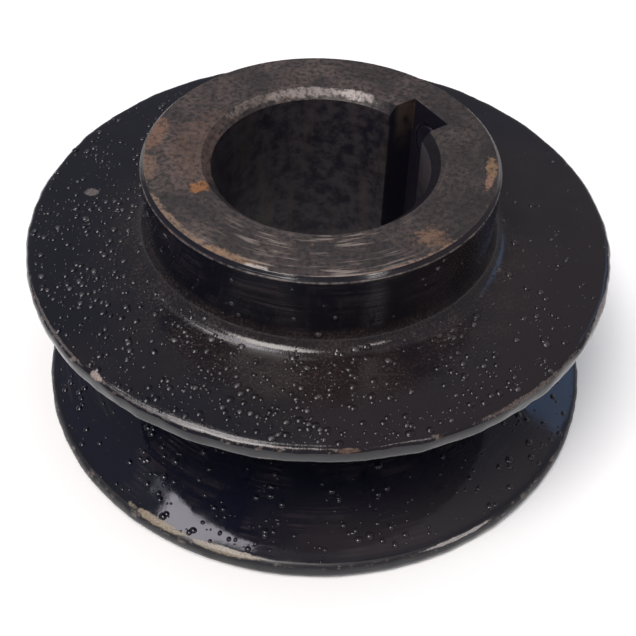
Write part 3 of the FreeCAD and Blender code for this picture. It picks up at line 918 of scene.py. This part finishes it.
def makeBeadTree():
    # scatters low beads over the painted faces of the casting
    inputs = {label: ("NodeSocketFloat", 0.0) for label in (
        "Flange Beads", "Groove Beads", "Hub Beads", "Smallest", "Largest", "Groove Growth", "Flatness",
        "Groove Flatness", "Foot", "Groove Dustiness", "Rim Radius", "Rim Width", "Hub Radius",
        "Hub Face Height")}
    inputs["Seed"] = ("NodeSocketInt", 0)
    inputs["Enamel"] = ("NodeSocketMaterial", None)
    tree, given, result = newGeometryTree("enamelBeads", inputs)
    value = given.outputs
    position = addNode(tree, "GeometryNodeInputPosition")
    flat = addNode(tree, "ShaderNodeVectorMath", {"operation": "MULTIPLY", 1: (1, 1, 0)}, {0: position})
    radius = addNode(tree, "ShaderNodeVectorMath", {"operation": "LENGTH"}, {0: flat}).outputs["Value"]
    height = addNode(tree, "ShaderNodeSeparateXYZ", {}, {0: position}).outputs["Z"]
    # each face has its own share, and the rounded edges none
    aboveRim = addNode(tree, "ShaderNodeMath", {"operation": "SUBTRACT"}, {0: height, 1: value["Rim Width"]})
    onTop = addNode(tree, "ShaderNodeMath", {"operation": "COMPARE", 1: 0.0, 2: 0.3 * millimetre},
                    {0: aboveRim})
    onHub = addNode(tree, "ShaderNodeMath", {"operation": "GREATER_THAN", 1: 0.3 * millimetre}, {0: aboveRim})
    belowFace = addNode(tree, "ShaderNodeMath", {"operation": "SUBTRACT"},
                        {0: value["Hub Face Height"], 1: height})
    belowHubEdge = addNode(tree, "ShaderNodeMath", {"operation": "GREATER_THAN", 1: 0.8 * millimetre},
                           {0: belowFace})
    outsideHub = addNode(tree, "ShaderNodeMath", {"operation": "SUBTRACT"},
                         {0: radius, 1: value["Hub Radius"]})
    beyondHub = addNode(tree, "ShaderNodeMath", {"operation": "GREATER_THAN", 1: -0.2 * millimetre},
                        {0: outsideHub})
    hubSide = addNode(tree, "ShaderNodeMath", {"operation": "MULTIPLY"}, {0: onHub, 1: belowHubEdge})
    belowTop = addNode(tree, "ShaderNodeMath", {"operation": "LESS_THAN", 1: -2.0 * millimetre},
                       {0: aboveRim})
    offFloor = addNode(tree, "ShaderNodeMath", {"operation": "GREATER_THAN", 1: 1.9 * millimetre},
                       {0: height})
    inGroove = addNode(tree, "ShaderNodeMath", {"operation": "MULTIPLY"}, {0: belowTop, 1: offFloor})
    topDensity = addNode(tree, "ShaderNodeMath", {"operation": "MULTIPLY"},
                         {0: onTop, 1: value["Flange Beads"]})
    hubDensity = addNode(tree, "ShaderNodeMath", {"operation": "MULTIPLY"},
                         {0: hubSide, 1: value["Hub Beads"]})
    grooveDensity = addNode(tree, "ShaderNodeMath", {"operation": "MULTIPLY"},
                            {0: inGroove, 1: value["Groove Beads"]})
    outerDensity = addNode(tree, "ShaderNodeMath", {"operation": "ADD"}, {0: topDensity, 1: grooveDensity})
    allDensity = addNode(tree, "ShaderNodeMath", {"operation": "ADD"}, {0: outerDensity, 1: hubDensity})
    fromRim = addNode(tree, "ShaderNodeMath", {"operation": "SUBTRACT"}, {0: value["Rim Radius"], 1: radius})
    insideRim = addNode(tree, "ShaderNodeMath", {"operation": "GREATER_THAN", 1: 0.9 * millimetre},
                        {0: fromRim})
    clearOfEdges = addNode(tree, "ShaderNodeMath", {"operation": "MULTIPLY"}, {0: insideRim, 1: beyondHub})
    density = addNode(tree, "ShaderNodeMath", {"operation": "MULTIPLY"}, {0: allDensity, 1: clearOfEdges})

    # they lie in drifts, not evenly; on the flange most are at the front and left, where the brush ran off
    side = addNode(tree, "ShaderNodeVectorMath", {"operation": "DOT_PRODUCT", 1: (-0.62, -0.78, 0.0)},
                   {0: position})
    sideShare = addNode(tree, "ShaderNodeMapRange",
                        {1: -26 * millimetre, 2: 20 * millimetre, 3: 0.12, 4: 1.3},
                        {0: side.outputs["Value"]})
    sideOrGroove = addNode(tree, "ShaderNodeMath", {"operation": "MAXIMUM"}, {0: sideShare, 1: inGroove})
    sided = addNode(tree, "ShaderNodeMath", {"operation": "MULTIPLY"}, {0: density, 1: sideOrGroove})
    drift = addNode(tree, "ShaderNodeTexNoise",
                    {"Scale": 1 / (beadSettings["driftSize"] * millimetre), "Detail": 2.0},
                    {"Vector": position})
    driftShare = addNode(tree, "ShaderNodeMapRange", {1: 0.36, 2: 0.62, 3: 0.25, 4: 1.6}, {0: drift})
    drifted = addNode(tree, "ShaderNodeMath", {"operation": "MULTIPLY"}, {0: sided, 1: driftShare})
    perMetre = addNode(tree, "ShaderNodeMath", {"operation": "DIVIDE", 1: millimetre ** 2}, {0: drifted})
    points = addNode(tree, "GeometryNodeDistributePointsOnFaces", {"distribute_method": "RANDOM"},
                     {"Mesh": value["Geometry"], "Density": perMetre, "Seed": value["Seed"]})
    draw = addNode(tree, "FunctionNodeRandomValue", {"data_type": "FLOAT"}, {"Seed": value["Seed"]})
    skewed = addNode(tree, "ShaderNodeMath", {"operation": "POWER", 1: 2.5}, {0: draw.outputs[1]})
    size = addNode(tree, "ShaderNodeMapRange", {}, {0: skewed, 3: value["Smallest"], 4: value["Largest"]})
    growth = addNode(tree, "ShaderNodeMapRange", {3: 1.0}, {0: inGroove, 4: value["Groove Growth"]})
    grown = addNode(tree, "ShaderNodeMath", {"operation": "MULTIPLY"}, {0: size, 1: growth})
    flatness = addNode(tree, "ShaderNodeMapRange", {},
                       {0: inGroove, 3: value["Flatness"], 4: value["Groove Flatness"]})
    low = addNode(tree, "ShaderNodeMath", {"operation": "MULTIPLY"}, {0: grown, 1: flatness})
    stretch = addNode(tree, "FunctionNodeRandomValue", {"data_type": "FLOAT", 2: 0.8, 3: 1.3, "Seed": 5})
    longer = addNode(tree, "ShaderNodeMath", {"operation": "MULTIPLY"}, {0: grown, 1: stretch.outputs[1]})
    scale = addNode(tree, "ShaderNodeCombineXYZ", {}, {0: longer, 1: grown, 2: low})

    # one bead: a cone bent into a low dome, whose foot is sunk in the face so that it leaves no gap
    cone = addNode(tree, "GeometryNodeMeshCone",
                   {"Vertices": 9, "Side Segments": 3, "Radius Top": 0.0, "Radius Bottom": 1.0, "Depth": 1.0})
    fromCrown = addNode(tree, "ShaderNodeVectorMath", {"operation": "MULTIPLY", 1: (1, 1, 0)}, {0: position})
    spread = addNode(tree, "ShaderNodeVectorMath", {"operation": "LENGTH"}, {0: fromCrown})
    spreadSquared = addNode(tree, "ShaderNodeMath", {"operation": "POWER", 1: 2.0},
                            {0: spread.outputs["Value"]})
    dome = addNode(tree, "ShaderNodeMath", {"operation": "SUBTRACT", 0: 1.0}, {1: spreadSquared})
    sunk = addNode(tree, "ShaderNodeMath", {"operation": "SUBTRACT"}, {0: dome, 1: value["Foot"]})
    domeUp = addNode(tree, "ShaderNodeCombineXYZ", {}, {2: sunk})
    domePlace = addNode(tree, "ShaderNodeVectorMath", {"operation": "ADD"}, {0: fromCrown, 1: domeUp})
    bead = addNode(tree, "GeometryNodeSetPosition", {}, {"Geometry": cone, "Position": domePlace})
    # its underside is shaded flat, so that the dome's own shading doesn't dip at the foot
    smooth = addNode(tree, "GeometryNodeSetShadeSmooth", {},
                     {"Geometry": bead, "Selection": cone.outputs["Side"]})

    # the enamel reads how near its crown a point is, and how much dust and painted highlight its bead gets
    crown = addNode(tree, "ShaderNodeMapRange", {1: 0.78, 2: 0.18}, {0: spread.outputs["Value"]})
    crowned = addNode(tree, "GeometryNodeStoreNamedAttribute", {"Name": "crown"},
                      {"Geometry": smooth, "Value": crown})
    placed = addNode(tree, "GeometryNodeInstanceOnPoints", {},
                     {"Points": points, "Instance": crowned, "Rotation": points.outputs["Rotation"],
                      "Scale": scale})
    # a bead that draws less than zero is clean, with no painted highlight
    dustAndHighlightDraw = addNode(tree, "FunctionNodeRandomValue", {"data_type": "FLOAT", 2: -0.8, 3: 1.0, "Seed": 8})
    keptDustAndHighlight = addNode(tree, "ShaderNodeMapRange", {3: 1.0}, {0: belowTop, 4: value["Groove Dustiness"]})
    dustiness = addNode(tree, "ShaderNodeMath", {"operation": "MULTIPLY"},
                        {0: dustAndHighlightDraw.outputs[1], 1: keptDustAndHighlight})
    dusted = addNode(tree, "GeometryNodeStoreNamedAttribute", {"domain": "INSTANCE", "Name": "dustiness"},
                     {"Geometry": placed, "Value": dustiness})
    solid = addNode(tree, "GeometryNodeRealizeInstances", {}, {"Geometry": dusted})
    painted = addNode(tree, "GeometryNodeSetMaterial", {}, {"Geometry": solid, "Material": value["Enamel"]})
    tree.links.new(painted.outputs[0], result.inputs[0])
    return tree


beads = bakedObject("enamelBeads", casting, makeBeadTree(), {
    "Flange Beads": beadSettings["flangeBeads"], "Groove Beads": beadSettings["grooveBeads"],
    "Hub Beads": beadSettings["hubBeads"], "Smallest": beadSettings["smallest"] * millimetre,
    "Largest": beadSettings["largest"] * millimetre, "Groove Growth": beadSettings["grooveGrowth"],
    "Flatness": beadSettings["flatness"], "Groove Flatness": beadSettings["grooveFlatness"],
    "Foot": beadSettings["foot"], "Groove Dustiness": beadSettings["grooveDustiness"],
    "Rim Radius": castingSizes["rimRadius"] * millimetre, "Rim Width": castingSizes["rimWidth"] * millimetre,
    "Hub Radius": castingSizes["hubRadius"] * millimetre,
    "Hub Face Height": castingSizes["faceHeight"] * millimetre,
    "Seed": beadSettings["seed"], "Enamel": enamel,
})
print("beads scattered:", len(beads.data.polygons), "faces")


steelSettings = {
    "oxide": "#232326",
    "rubbed": "#4a4846",
    "grease": "#1f1d29",    # the keyway's dark colour, on the point
    "roughness": 0.38,
    "grainSize": 0.4,       # mm
}


def makeScrewSteel():
    # black-oxide alloy steel: nearly black, satin, lighter where the threads rub
    chosen = steelSettings
    material, tree = newMaterial("blackOxideSteel")
    at = ringPlace(tree)
    grain = addNode(tree, "ShaderNodeTexNoise", {"Scale": 1 / chosen["grainSize"], "Detail": 4.0},
                    {"Vector": at["place"]})
    rubbed = addNode(tree, "ShaderNodeMapRange", {1: 0.45, 2: 0.75}, {0: grain})
    floor = castingSizes["keywayFloor"]
    onPoint = addNode(tree, "ShaderNodeMapRange", {1: floor + 0.9, 2: floor + 0.6}, {0: at["radius"]})
    colour = layCoats(tree, chosen["oxide"], [(rubbed, chosen["rubbed"]), (onPoint, chosen["grease"])])
    metallic = addNode(tree, "ShaderNodeMapRange", {3: 0.85, 4: 0.0}, {0: onPoint})
    relief = addNode(tree, "ShaderNodeMath", {"operation": "MULTIPLY", 1: 0.01}, {0: grain})
    finishMaterial(tree, {"Roughness": chosen["roughness"]},
                   {"Base Color": colour, "Metallic": metallic}, relief)
    return material


screwSteel = makeScrewSteel()


screwSizes = {              # mm
    "tipClearance": 0.1,    # off the keyway's floor
    "length": 5.0,
    "endRadius": 2.3,
    "socketWidth": 3.0,     # across the flats
    "socketDepth": 2.4,
    "cupRadius": 1.5,
    "cupDepth": 0.7,
}


def makeScrewTree():
    # a threaded rod with a hexagon socket in one end and a cup in the other, laid along the keyway's radius
    inputs = {label: ("NodeSocketFloat", 0.0) for label in (
        "Tip", "Head", "Major Radius", "Thread Depth", "Pitch", "End Radius", "Socket Radius", "Socket Depth",
        "Cup Radius", "Cup Depth", "Azimuth", "Height")}
    inputs["Steel"] = ("NodeSocketMaterial", None)
    tree, given, result = newGeometryTree("hexSocketSetScrew", inputs)
    value = given.outputs
    rod = addNode(tree, "GeometryNodeGroup", {"node_tree": threadTree, "Facets": threadSettings["facets"],
                                              "Steps Per Turn": threadSettings["stepsPerTurn"]},
                  {"Start": value["Tip"], "End": value["Head"], "Major Radius": value["Major Radius"],
                   "Thread Depth": value["Thread Depth"], "Pitch": value["Pitch"],
                   "End Radius": value["End Radius"]})
    twiceDeep = addNode(tree, "ShaderNodeMath", {"operation": "MULTIPLY", 1: 2.0}, {0: value["Socket Depth"]})
    hexagon = addNode(tree, "GeometryNodeMeshCylinder", {"Vertices": 6},
                      {"Radius": value["Socket Radius"], "Depth": twiceDeep})
    headLift = addNode(tree, "ShaderNodeCombineXYZ", {}, {2: value["Head"]})
    socket = addNode(tree, "GeometryNodeTransform", {}, {"Geometry": hexagon, "Translation": headLift})
    cone = addNode(tree, "GeometryNodeMeshCone", {"Vertices": 32, "Radius Top": 0.0},
                   {"Radius Bottom": value["Cup Radius"], "Depth": value["Cup Depth"]})
    tipLift = addNode(tree, "ShaderNodeCombineXYZ", {}, {2: value["Tip"]})
    cup = addNode(tree, "GeometryNodeTransform", {}, {"Geometry": cone, "Translation": tipLift})
    cut = addNode(tree, "GeometryNodeMeshBoolean", {"operation": "DIFFERENCE", "solver": "MANIFOLD"},
                  {"Mesh 1": rod})
    tree.links.new(socket.outputs[0], cut.inputs["Mesh 2"])
    tree.links.new(cup.outputs[0], cut.inputs["Mesh 2"])
    turn = addNode(tree, "ShaderNodeCombineXYZ", {1: math.pi / 2}, {2: value["Azimuth"]})
    lift = addNode(tree, "ShaderNodeCombineXYZ", {}, {2: value["Height"]})
    laid = addNode(tree, "GeometryNodeTransform", {},
                   {"Geometry": cut, "Rotation": turn, "Translation": lift})
    solid = addNode(tree, "GeometryNodeRealizeInstances", {}, {"Geometry": laid})
    finished = addNode(tree, "GeometryNodeSetMaterial", {}, {"Geometry": solid, "Material": value["Steel"]})
    tree.links.new(finished.outputs[0], result.inputs[0])
    return tree


def buildScrew():
    size = screwSizes
    tip = castingSizes["keywayFloor"] + size["tipClearance"]
    blank = bpy.data.objects.new("screwBlank", bpy.data.meshes.new("screwBlank"))
    bpy.context.scene.collection.objects.link(blank)
    screw = bakedObject("keySetScrew", blank, makeScrewTree(), {
        "Tip": tip * millimetre, "Head": (tip + size["length"]) * millimetre,
        "Major Radius": threadSettings["majorRadius"] * millimetre,
        "Thread Depth": threadSettings["depth"] * millimetre, "Pitch": threadSettings["pitch"] * millimetre,
        "End Radius": size["endRadius"] * millimetre,
        "Socket Radius": size["socketWidth"] / math.sqrt(3) * millimetre,
        "Socket Depth": size["socketDepth"] * millimetre, "Cup Radius": size["cupRadius"] * millimetre,
        "Cup Depth": size["cupDepth"] * millimetre, "Azimuth": math.radians(castingSizes["keywayAzimuth"]),
        "Height": castingSizes["screwHeight"] * millimetre, "Steel": screwSteel,
    })
    bpy.data.objects.remove(blank)
    screw.data.shade_smooth()
    screw.data.set_sharp_from_angle(angle=math.radians(28))
    return screw


screw = buildScrew()
print("screw cut:", len(screw.data.polygons), "faces")

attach(casting, "pulley")
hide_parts("pulley_casting")
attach(beads, "pulley")
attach(screw, "set_screw")
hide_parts("key_set_screw")


studio = {
    "floorColour": "#fafafa",
    "floorSide": 6.0,            # m
    "paperGrain": 1.1,           # mm
    "ambient": "#94949c",
    "ambientStrength": 0.85,
}

panels = [
    # direction from the part, distance and sides in m, brightness of its face,
    # whether it lights what is matt, and whether it shows in what is glossy
    {"name": "windowLight", "towards": (-0.305, 0.0, 0.952), "distance": 0.8, "colour": "#e6e2ea",
     "width": 0.18, "height": 0.26, "brightness": 7.6, "lights": False, "mirrored": True},
    {"name": "windowSidePane", "towards": (-0.482, 0.10, 0.87), "distance": 0.8, "colour": "#dfe2f0",
     "width": 0.04, "height": 0.02, "brightness": 3.0, "lights": True, "mirrored": True},
    {"name": "ceilingLight", "towards": (-0.29, -0.39, 0.875), "distance": 1.1, "colour": "#fff9f4",
     "width": 0.54, "height": 0.46, "brightness": 11.0, "lights": True, "mirrored": True},
    # these two show in the crowns of the beads
    {"name": "glintLight", "towards": (-0.20, 0.28, 0.94), "distance": 1.1, "colour": "#fff8f4",
     "width": 0.34, "height": 0.34, "brightness": 7.0, "lights": False, "mirrored": True},
    {"name": "frontGlint", "towards": (0.42, -0.52, 0.743), "distance": 1.0, "colour": "#fff8f4",
     "width": 0.13, "height": 0.13, "brightness": 11.0, "lights": False, "mirrored": True},
    {"name": "rightSkylight", "towards": (0.646, 0.554, 0.526), "distance": 1.0, "colour": "#6690c4",
     "width": 0.30, "height": 0.30, "brightness": 1.7, "lights": True, "mirrored": True},
    {"name": "overheadFill", "towards": (0.0, 0.0, 1.0), "distance": 1.6, "colour": "#ffffff",
     "width": 2.6, "height": 2.6, "brightness": 0.93, "lights": True, "mirrored": False},
]


def makeFloor():
    # matt white backdrop paper: even and dull, with a faint grain
    material, tree = newMaterial("whitePaperFloor")
    coordinates = addNode(tree, "ShaderNodeTexCoord")
    grain = addNode(tree, "ShaderNodeTexNoise",
                    {"Scale": 1 / (studio["paperGrain"] * millimetre), "Detail": 2.0},
                    {"Vector": coordinates.outputs["Object"]})
    height = addNode(tree, "ShaderNodeMath", {"operation": "MULTIPLY", 1: 0.01}, {0: grain})
    finishMaterial(tree, {"Base Color": linearColour(studio["floorColour"]), "Roughness": 0.9,
                          "Specular IOR Level": 0.1}, {}, height)
    half = studio["floorSide"] / 2
    mesh = bpy.data.meshes.new("studioFloor")
    corners = [(-half, -half, 0), (half, -half, 0), (half, half, 0), (-half, half, 0)]
    mesh.from_pydata(corners, [], [(0, 1, 2, 3)])
    mesh.materials.append(material)
    floor = bpy.data.objects.new("studioFloor", mesh)
    bpy.context.scene.collection.objects.link(floor)
    return floor


def makePanel(panel):
    # an area light's radiance is its power over pi and its area
    light = bpy.data.lights.new(panel["name"], "AREA")
    light.shape = "RECTANGLE"
    light.size = panel["width"]
    light.size_y = panel["height"]
    light.energy = panel["brightness"] * math.pi * panel["width"] * panel["height"]
    light.color = linearColour(panel["colour"])[:3]
    lamp = bpy.data.objects.new(panel["name"], light)
    towards = Vector(panel["towards"]).normalized()
    lamp.location = towards * panel["distance"]
    lamp.rotation_euler = towards.to_track_quat("Z", "Y").to_euler()
    lamp.visible_diffuse = panel["lights"]
    lamp.visible_glossy = panel["mirrored"]
    bpy.context.scene.collection.objects.link(lamp)


def makeWorld():
    world = bpy.data.worlds.new("studioWorld")
    world.use_nodes = True
    tree = world.node_tree
    tree.nodes.clear()
    sky = addNode(tree, "ShaderNodeBackground",
                  {"Color": linearColour(studio["ambient"]), "Strength": studio["ambientStrength"]})
    addNode(tree, "ShaderNodeOutputWorld", {}, {"Surface": sky})
    bpy.context.scene.world = world


cameraSettings = {
    "place": (0.22, -104.70, 113.21),   # mm
    "downTilt": 45.42,                  # degrees
    "roll": 1.87,
    "lens": 64.30,                      # mm
    "sensor": 36.0,                     # mm
}


def makeCamera():
    data = bpy.data.cameras.new("studioCamera")
    data.lens = cameraSettings["lens"]
    data.sensor_width = cameraSettings["sensor"]
    data.clip_start = 0.005
    camera = bpy.data.objects.new("studioCamera", data)
    tilt = math.radians(cameraSettings["downTilt"])
    roll = math.radians(cameraSettings["roll"])
    forward = Vector((0, math.cos(tilt), -math.sin(tilt)))
    level = Vector((1, 0, 0))
    upward = level.cross(forward)
    right = math.cos(roll) * level + math.sin(roll) * upward
    top = math.cos(roll) * upward - math.sin(roll) * level
    turn = Matrix((right, top, -forward)).transposed()
    camera.matrix_world = Matrix.Translation(Vector(cameraSettings["place"]) * millimetre) @ turn.to_4x4()
    bpy.context.scene.collection.objects.link(camera)
    bpy.context.scene.camera = camera


makeFloor()
for panel in panels:
    makePanel(panel)
makeWorld()
makeCamera()
bpy.context.scene.view_settings.view_transform = "Standard"
print("studio set")
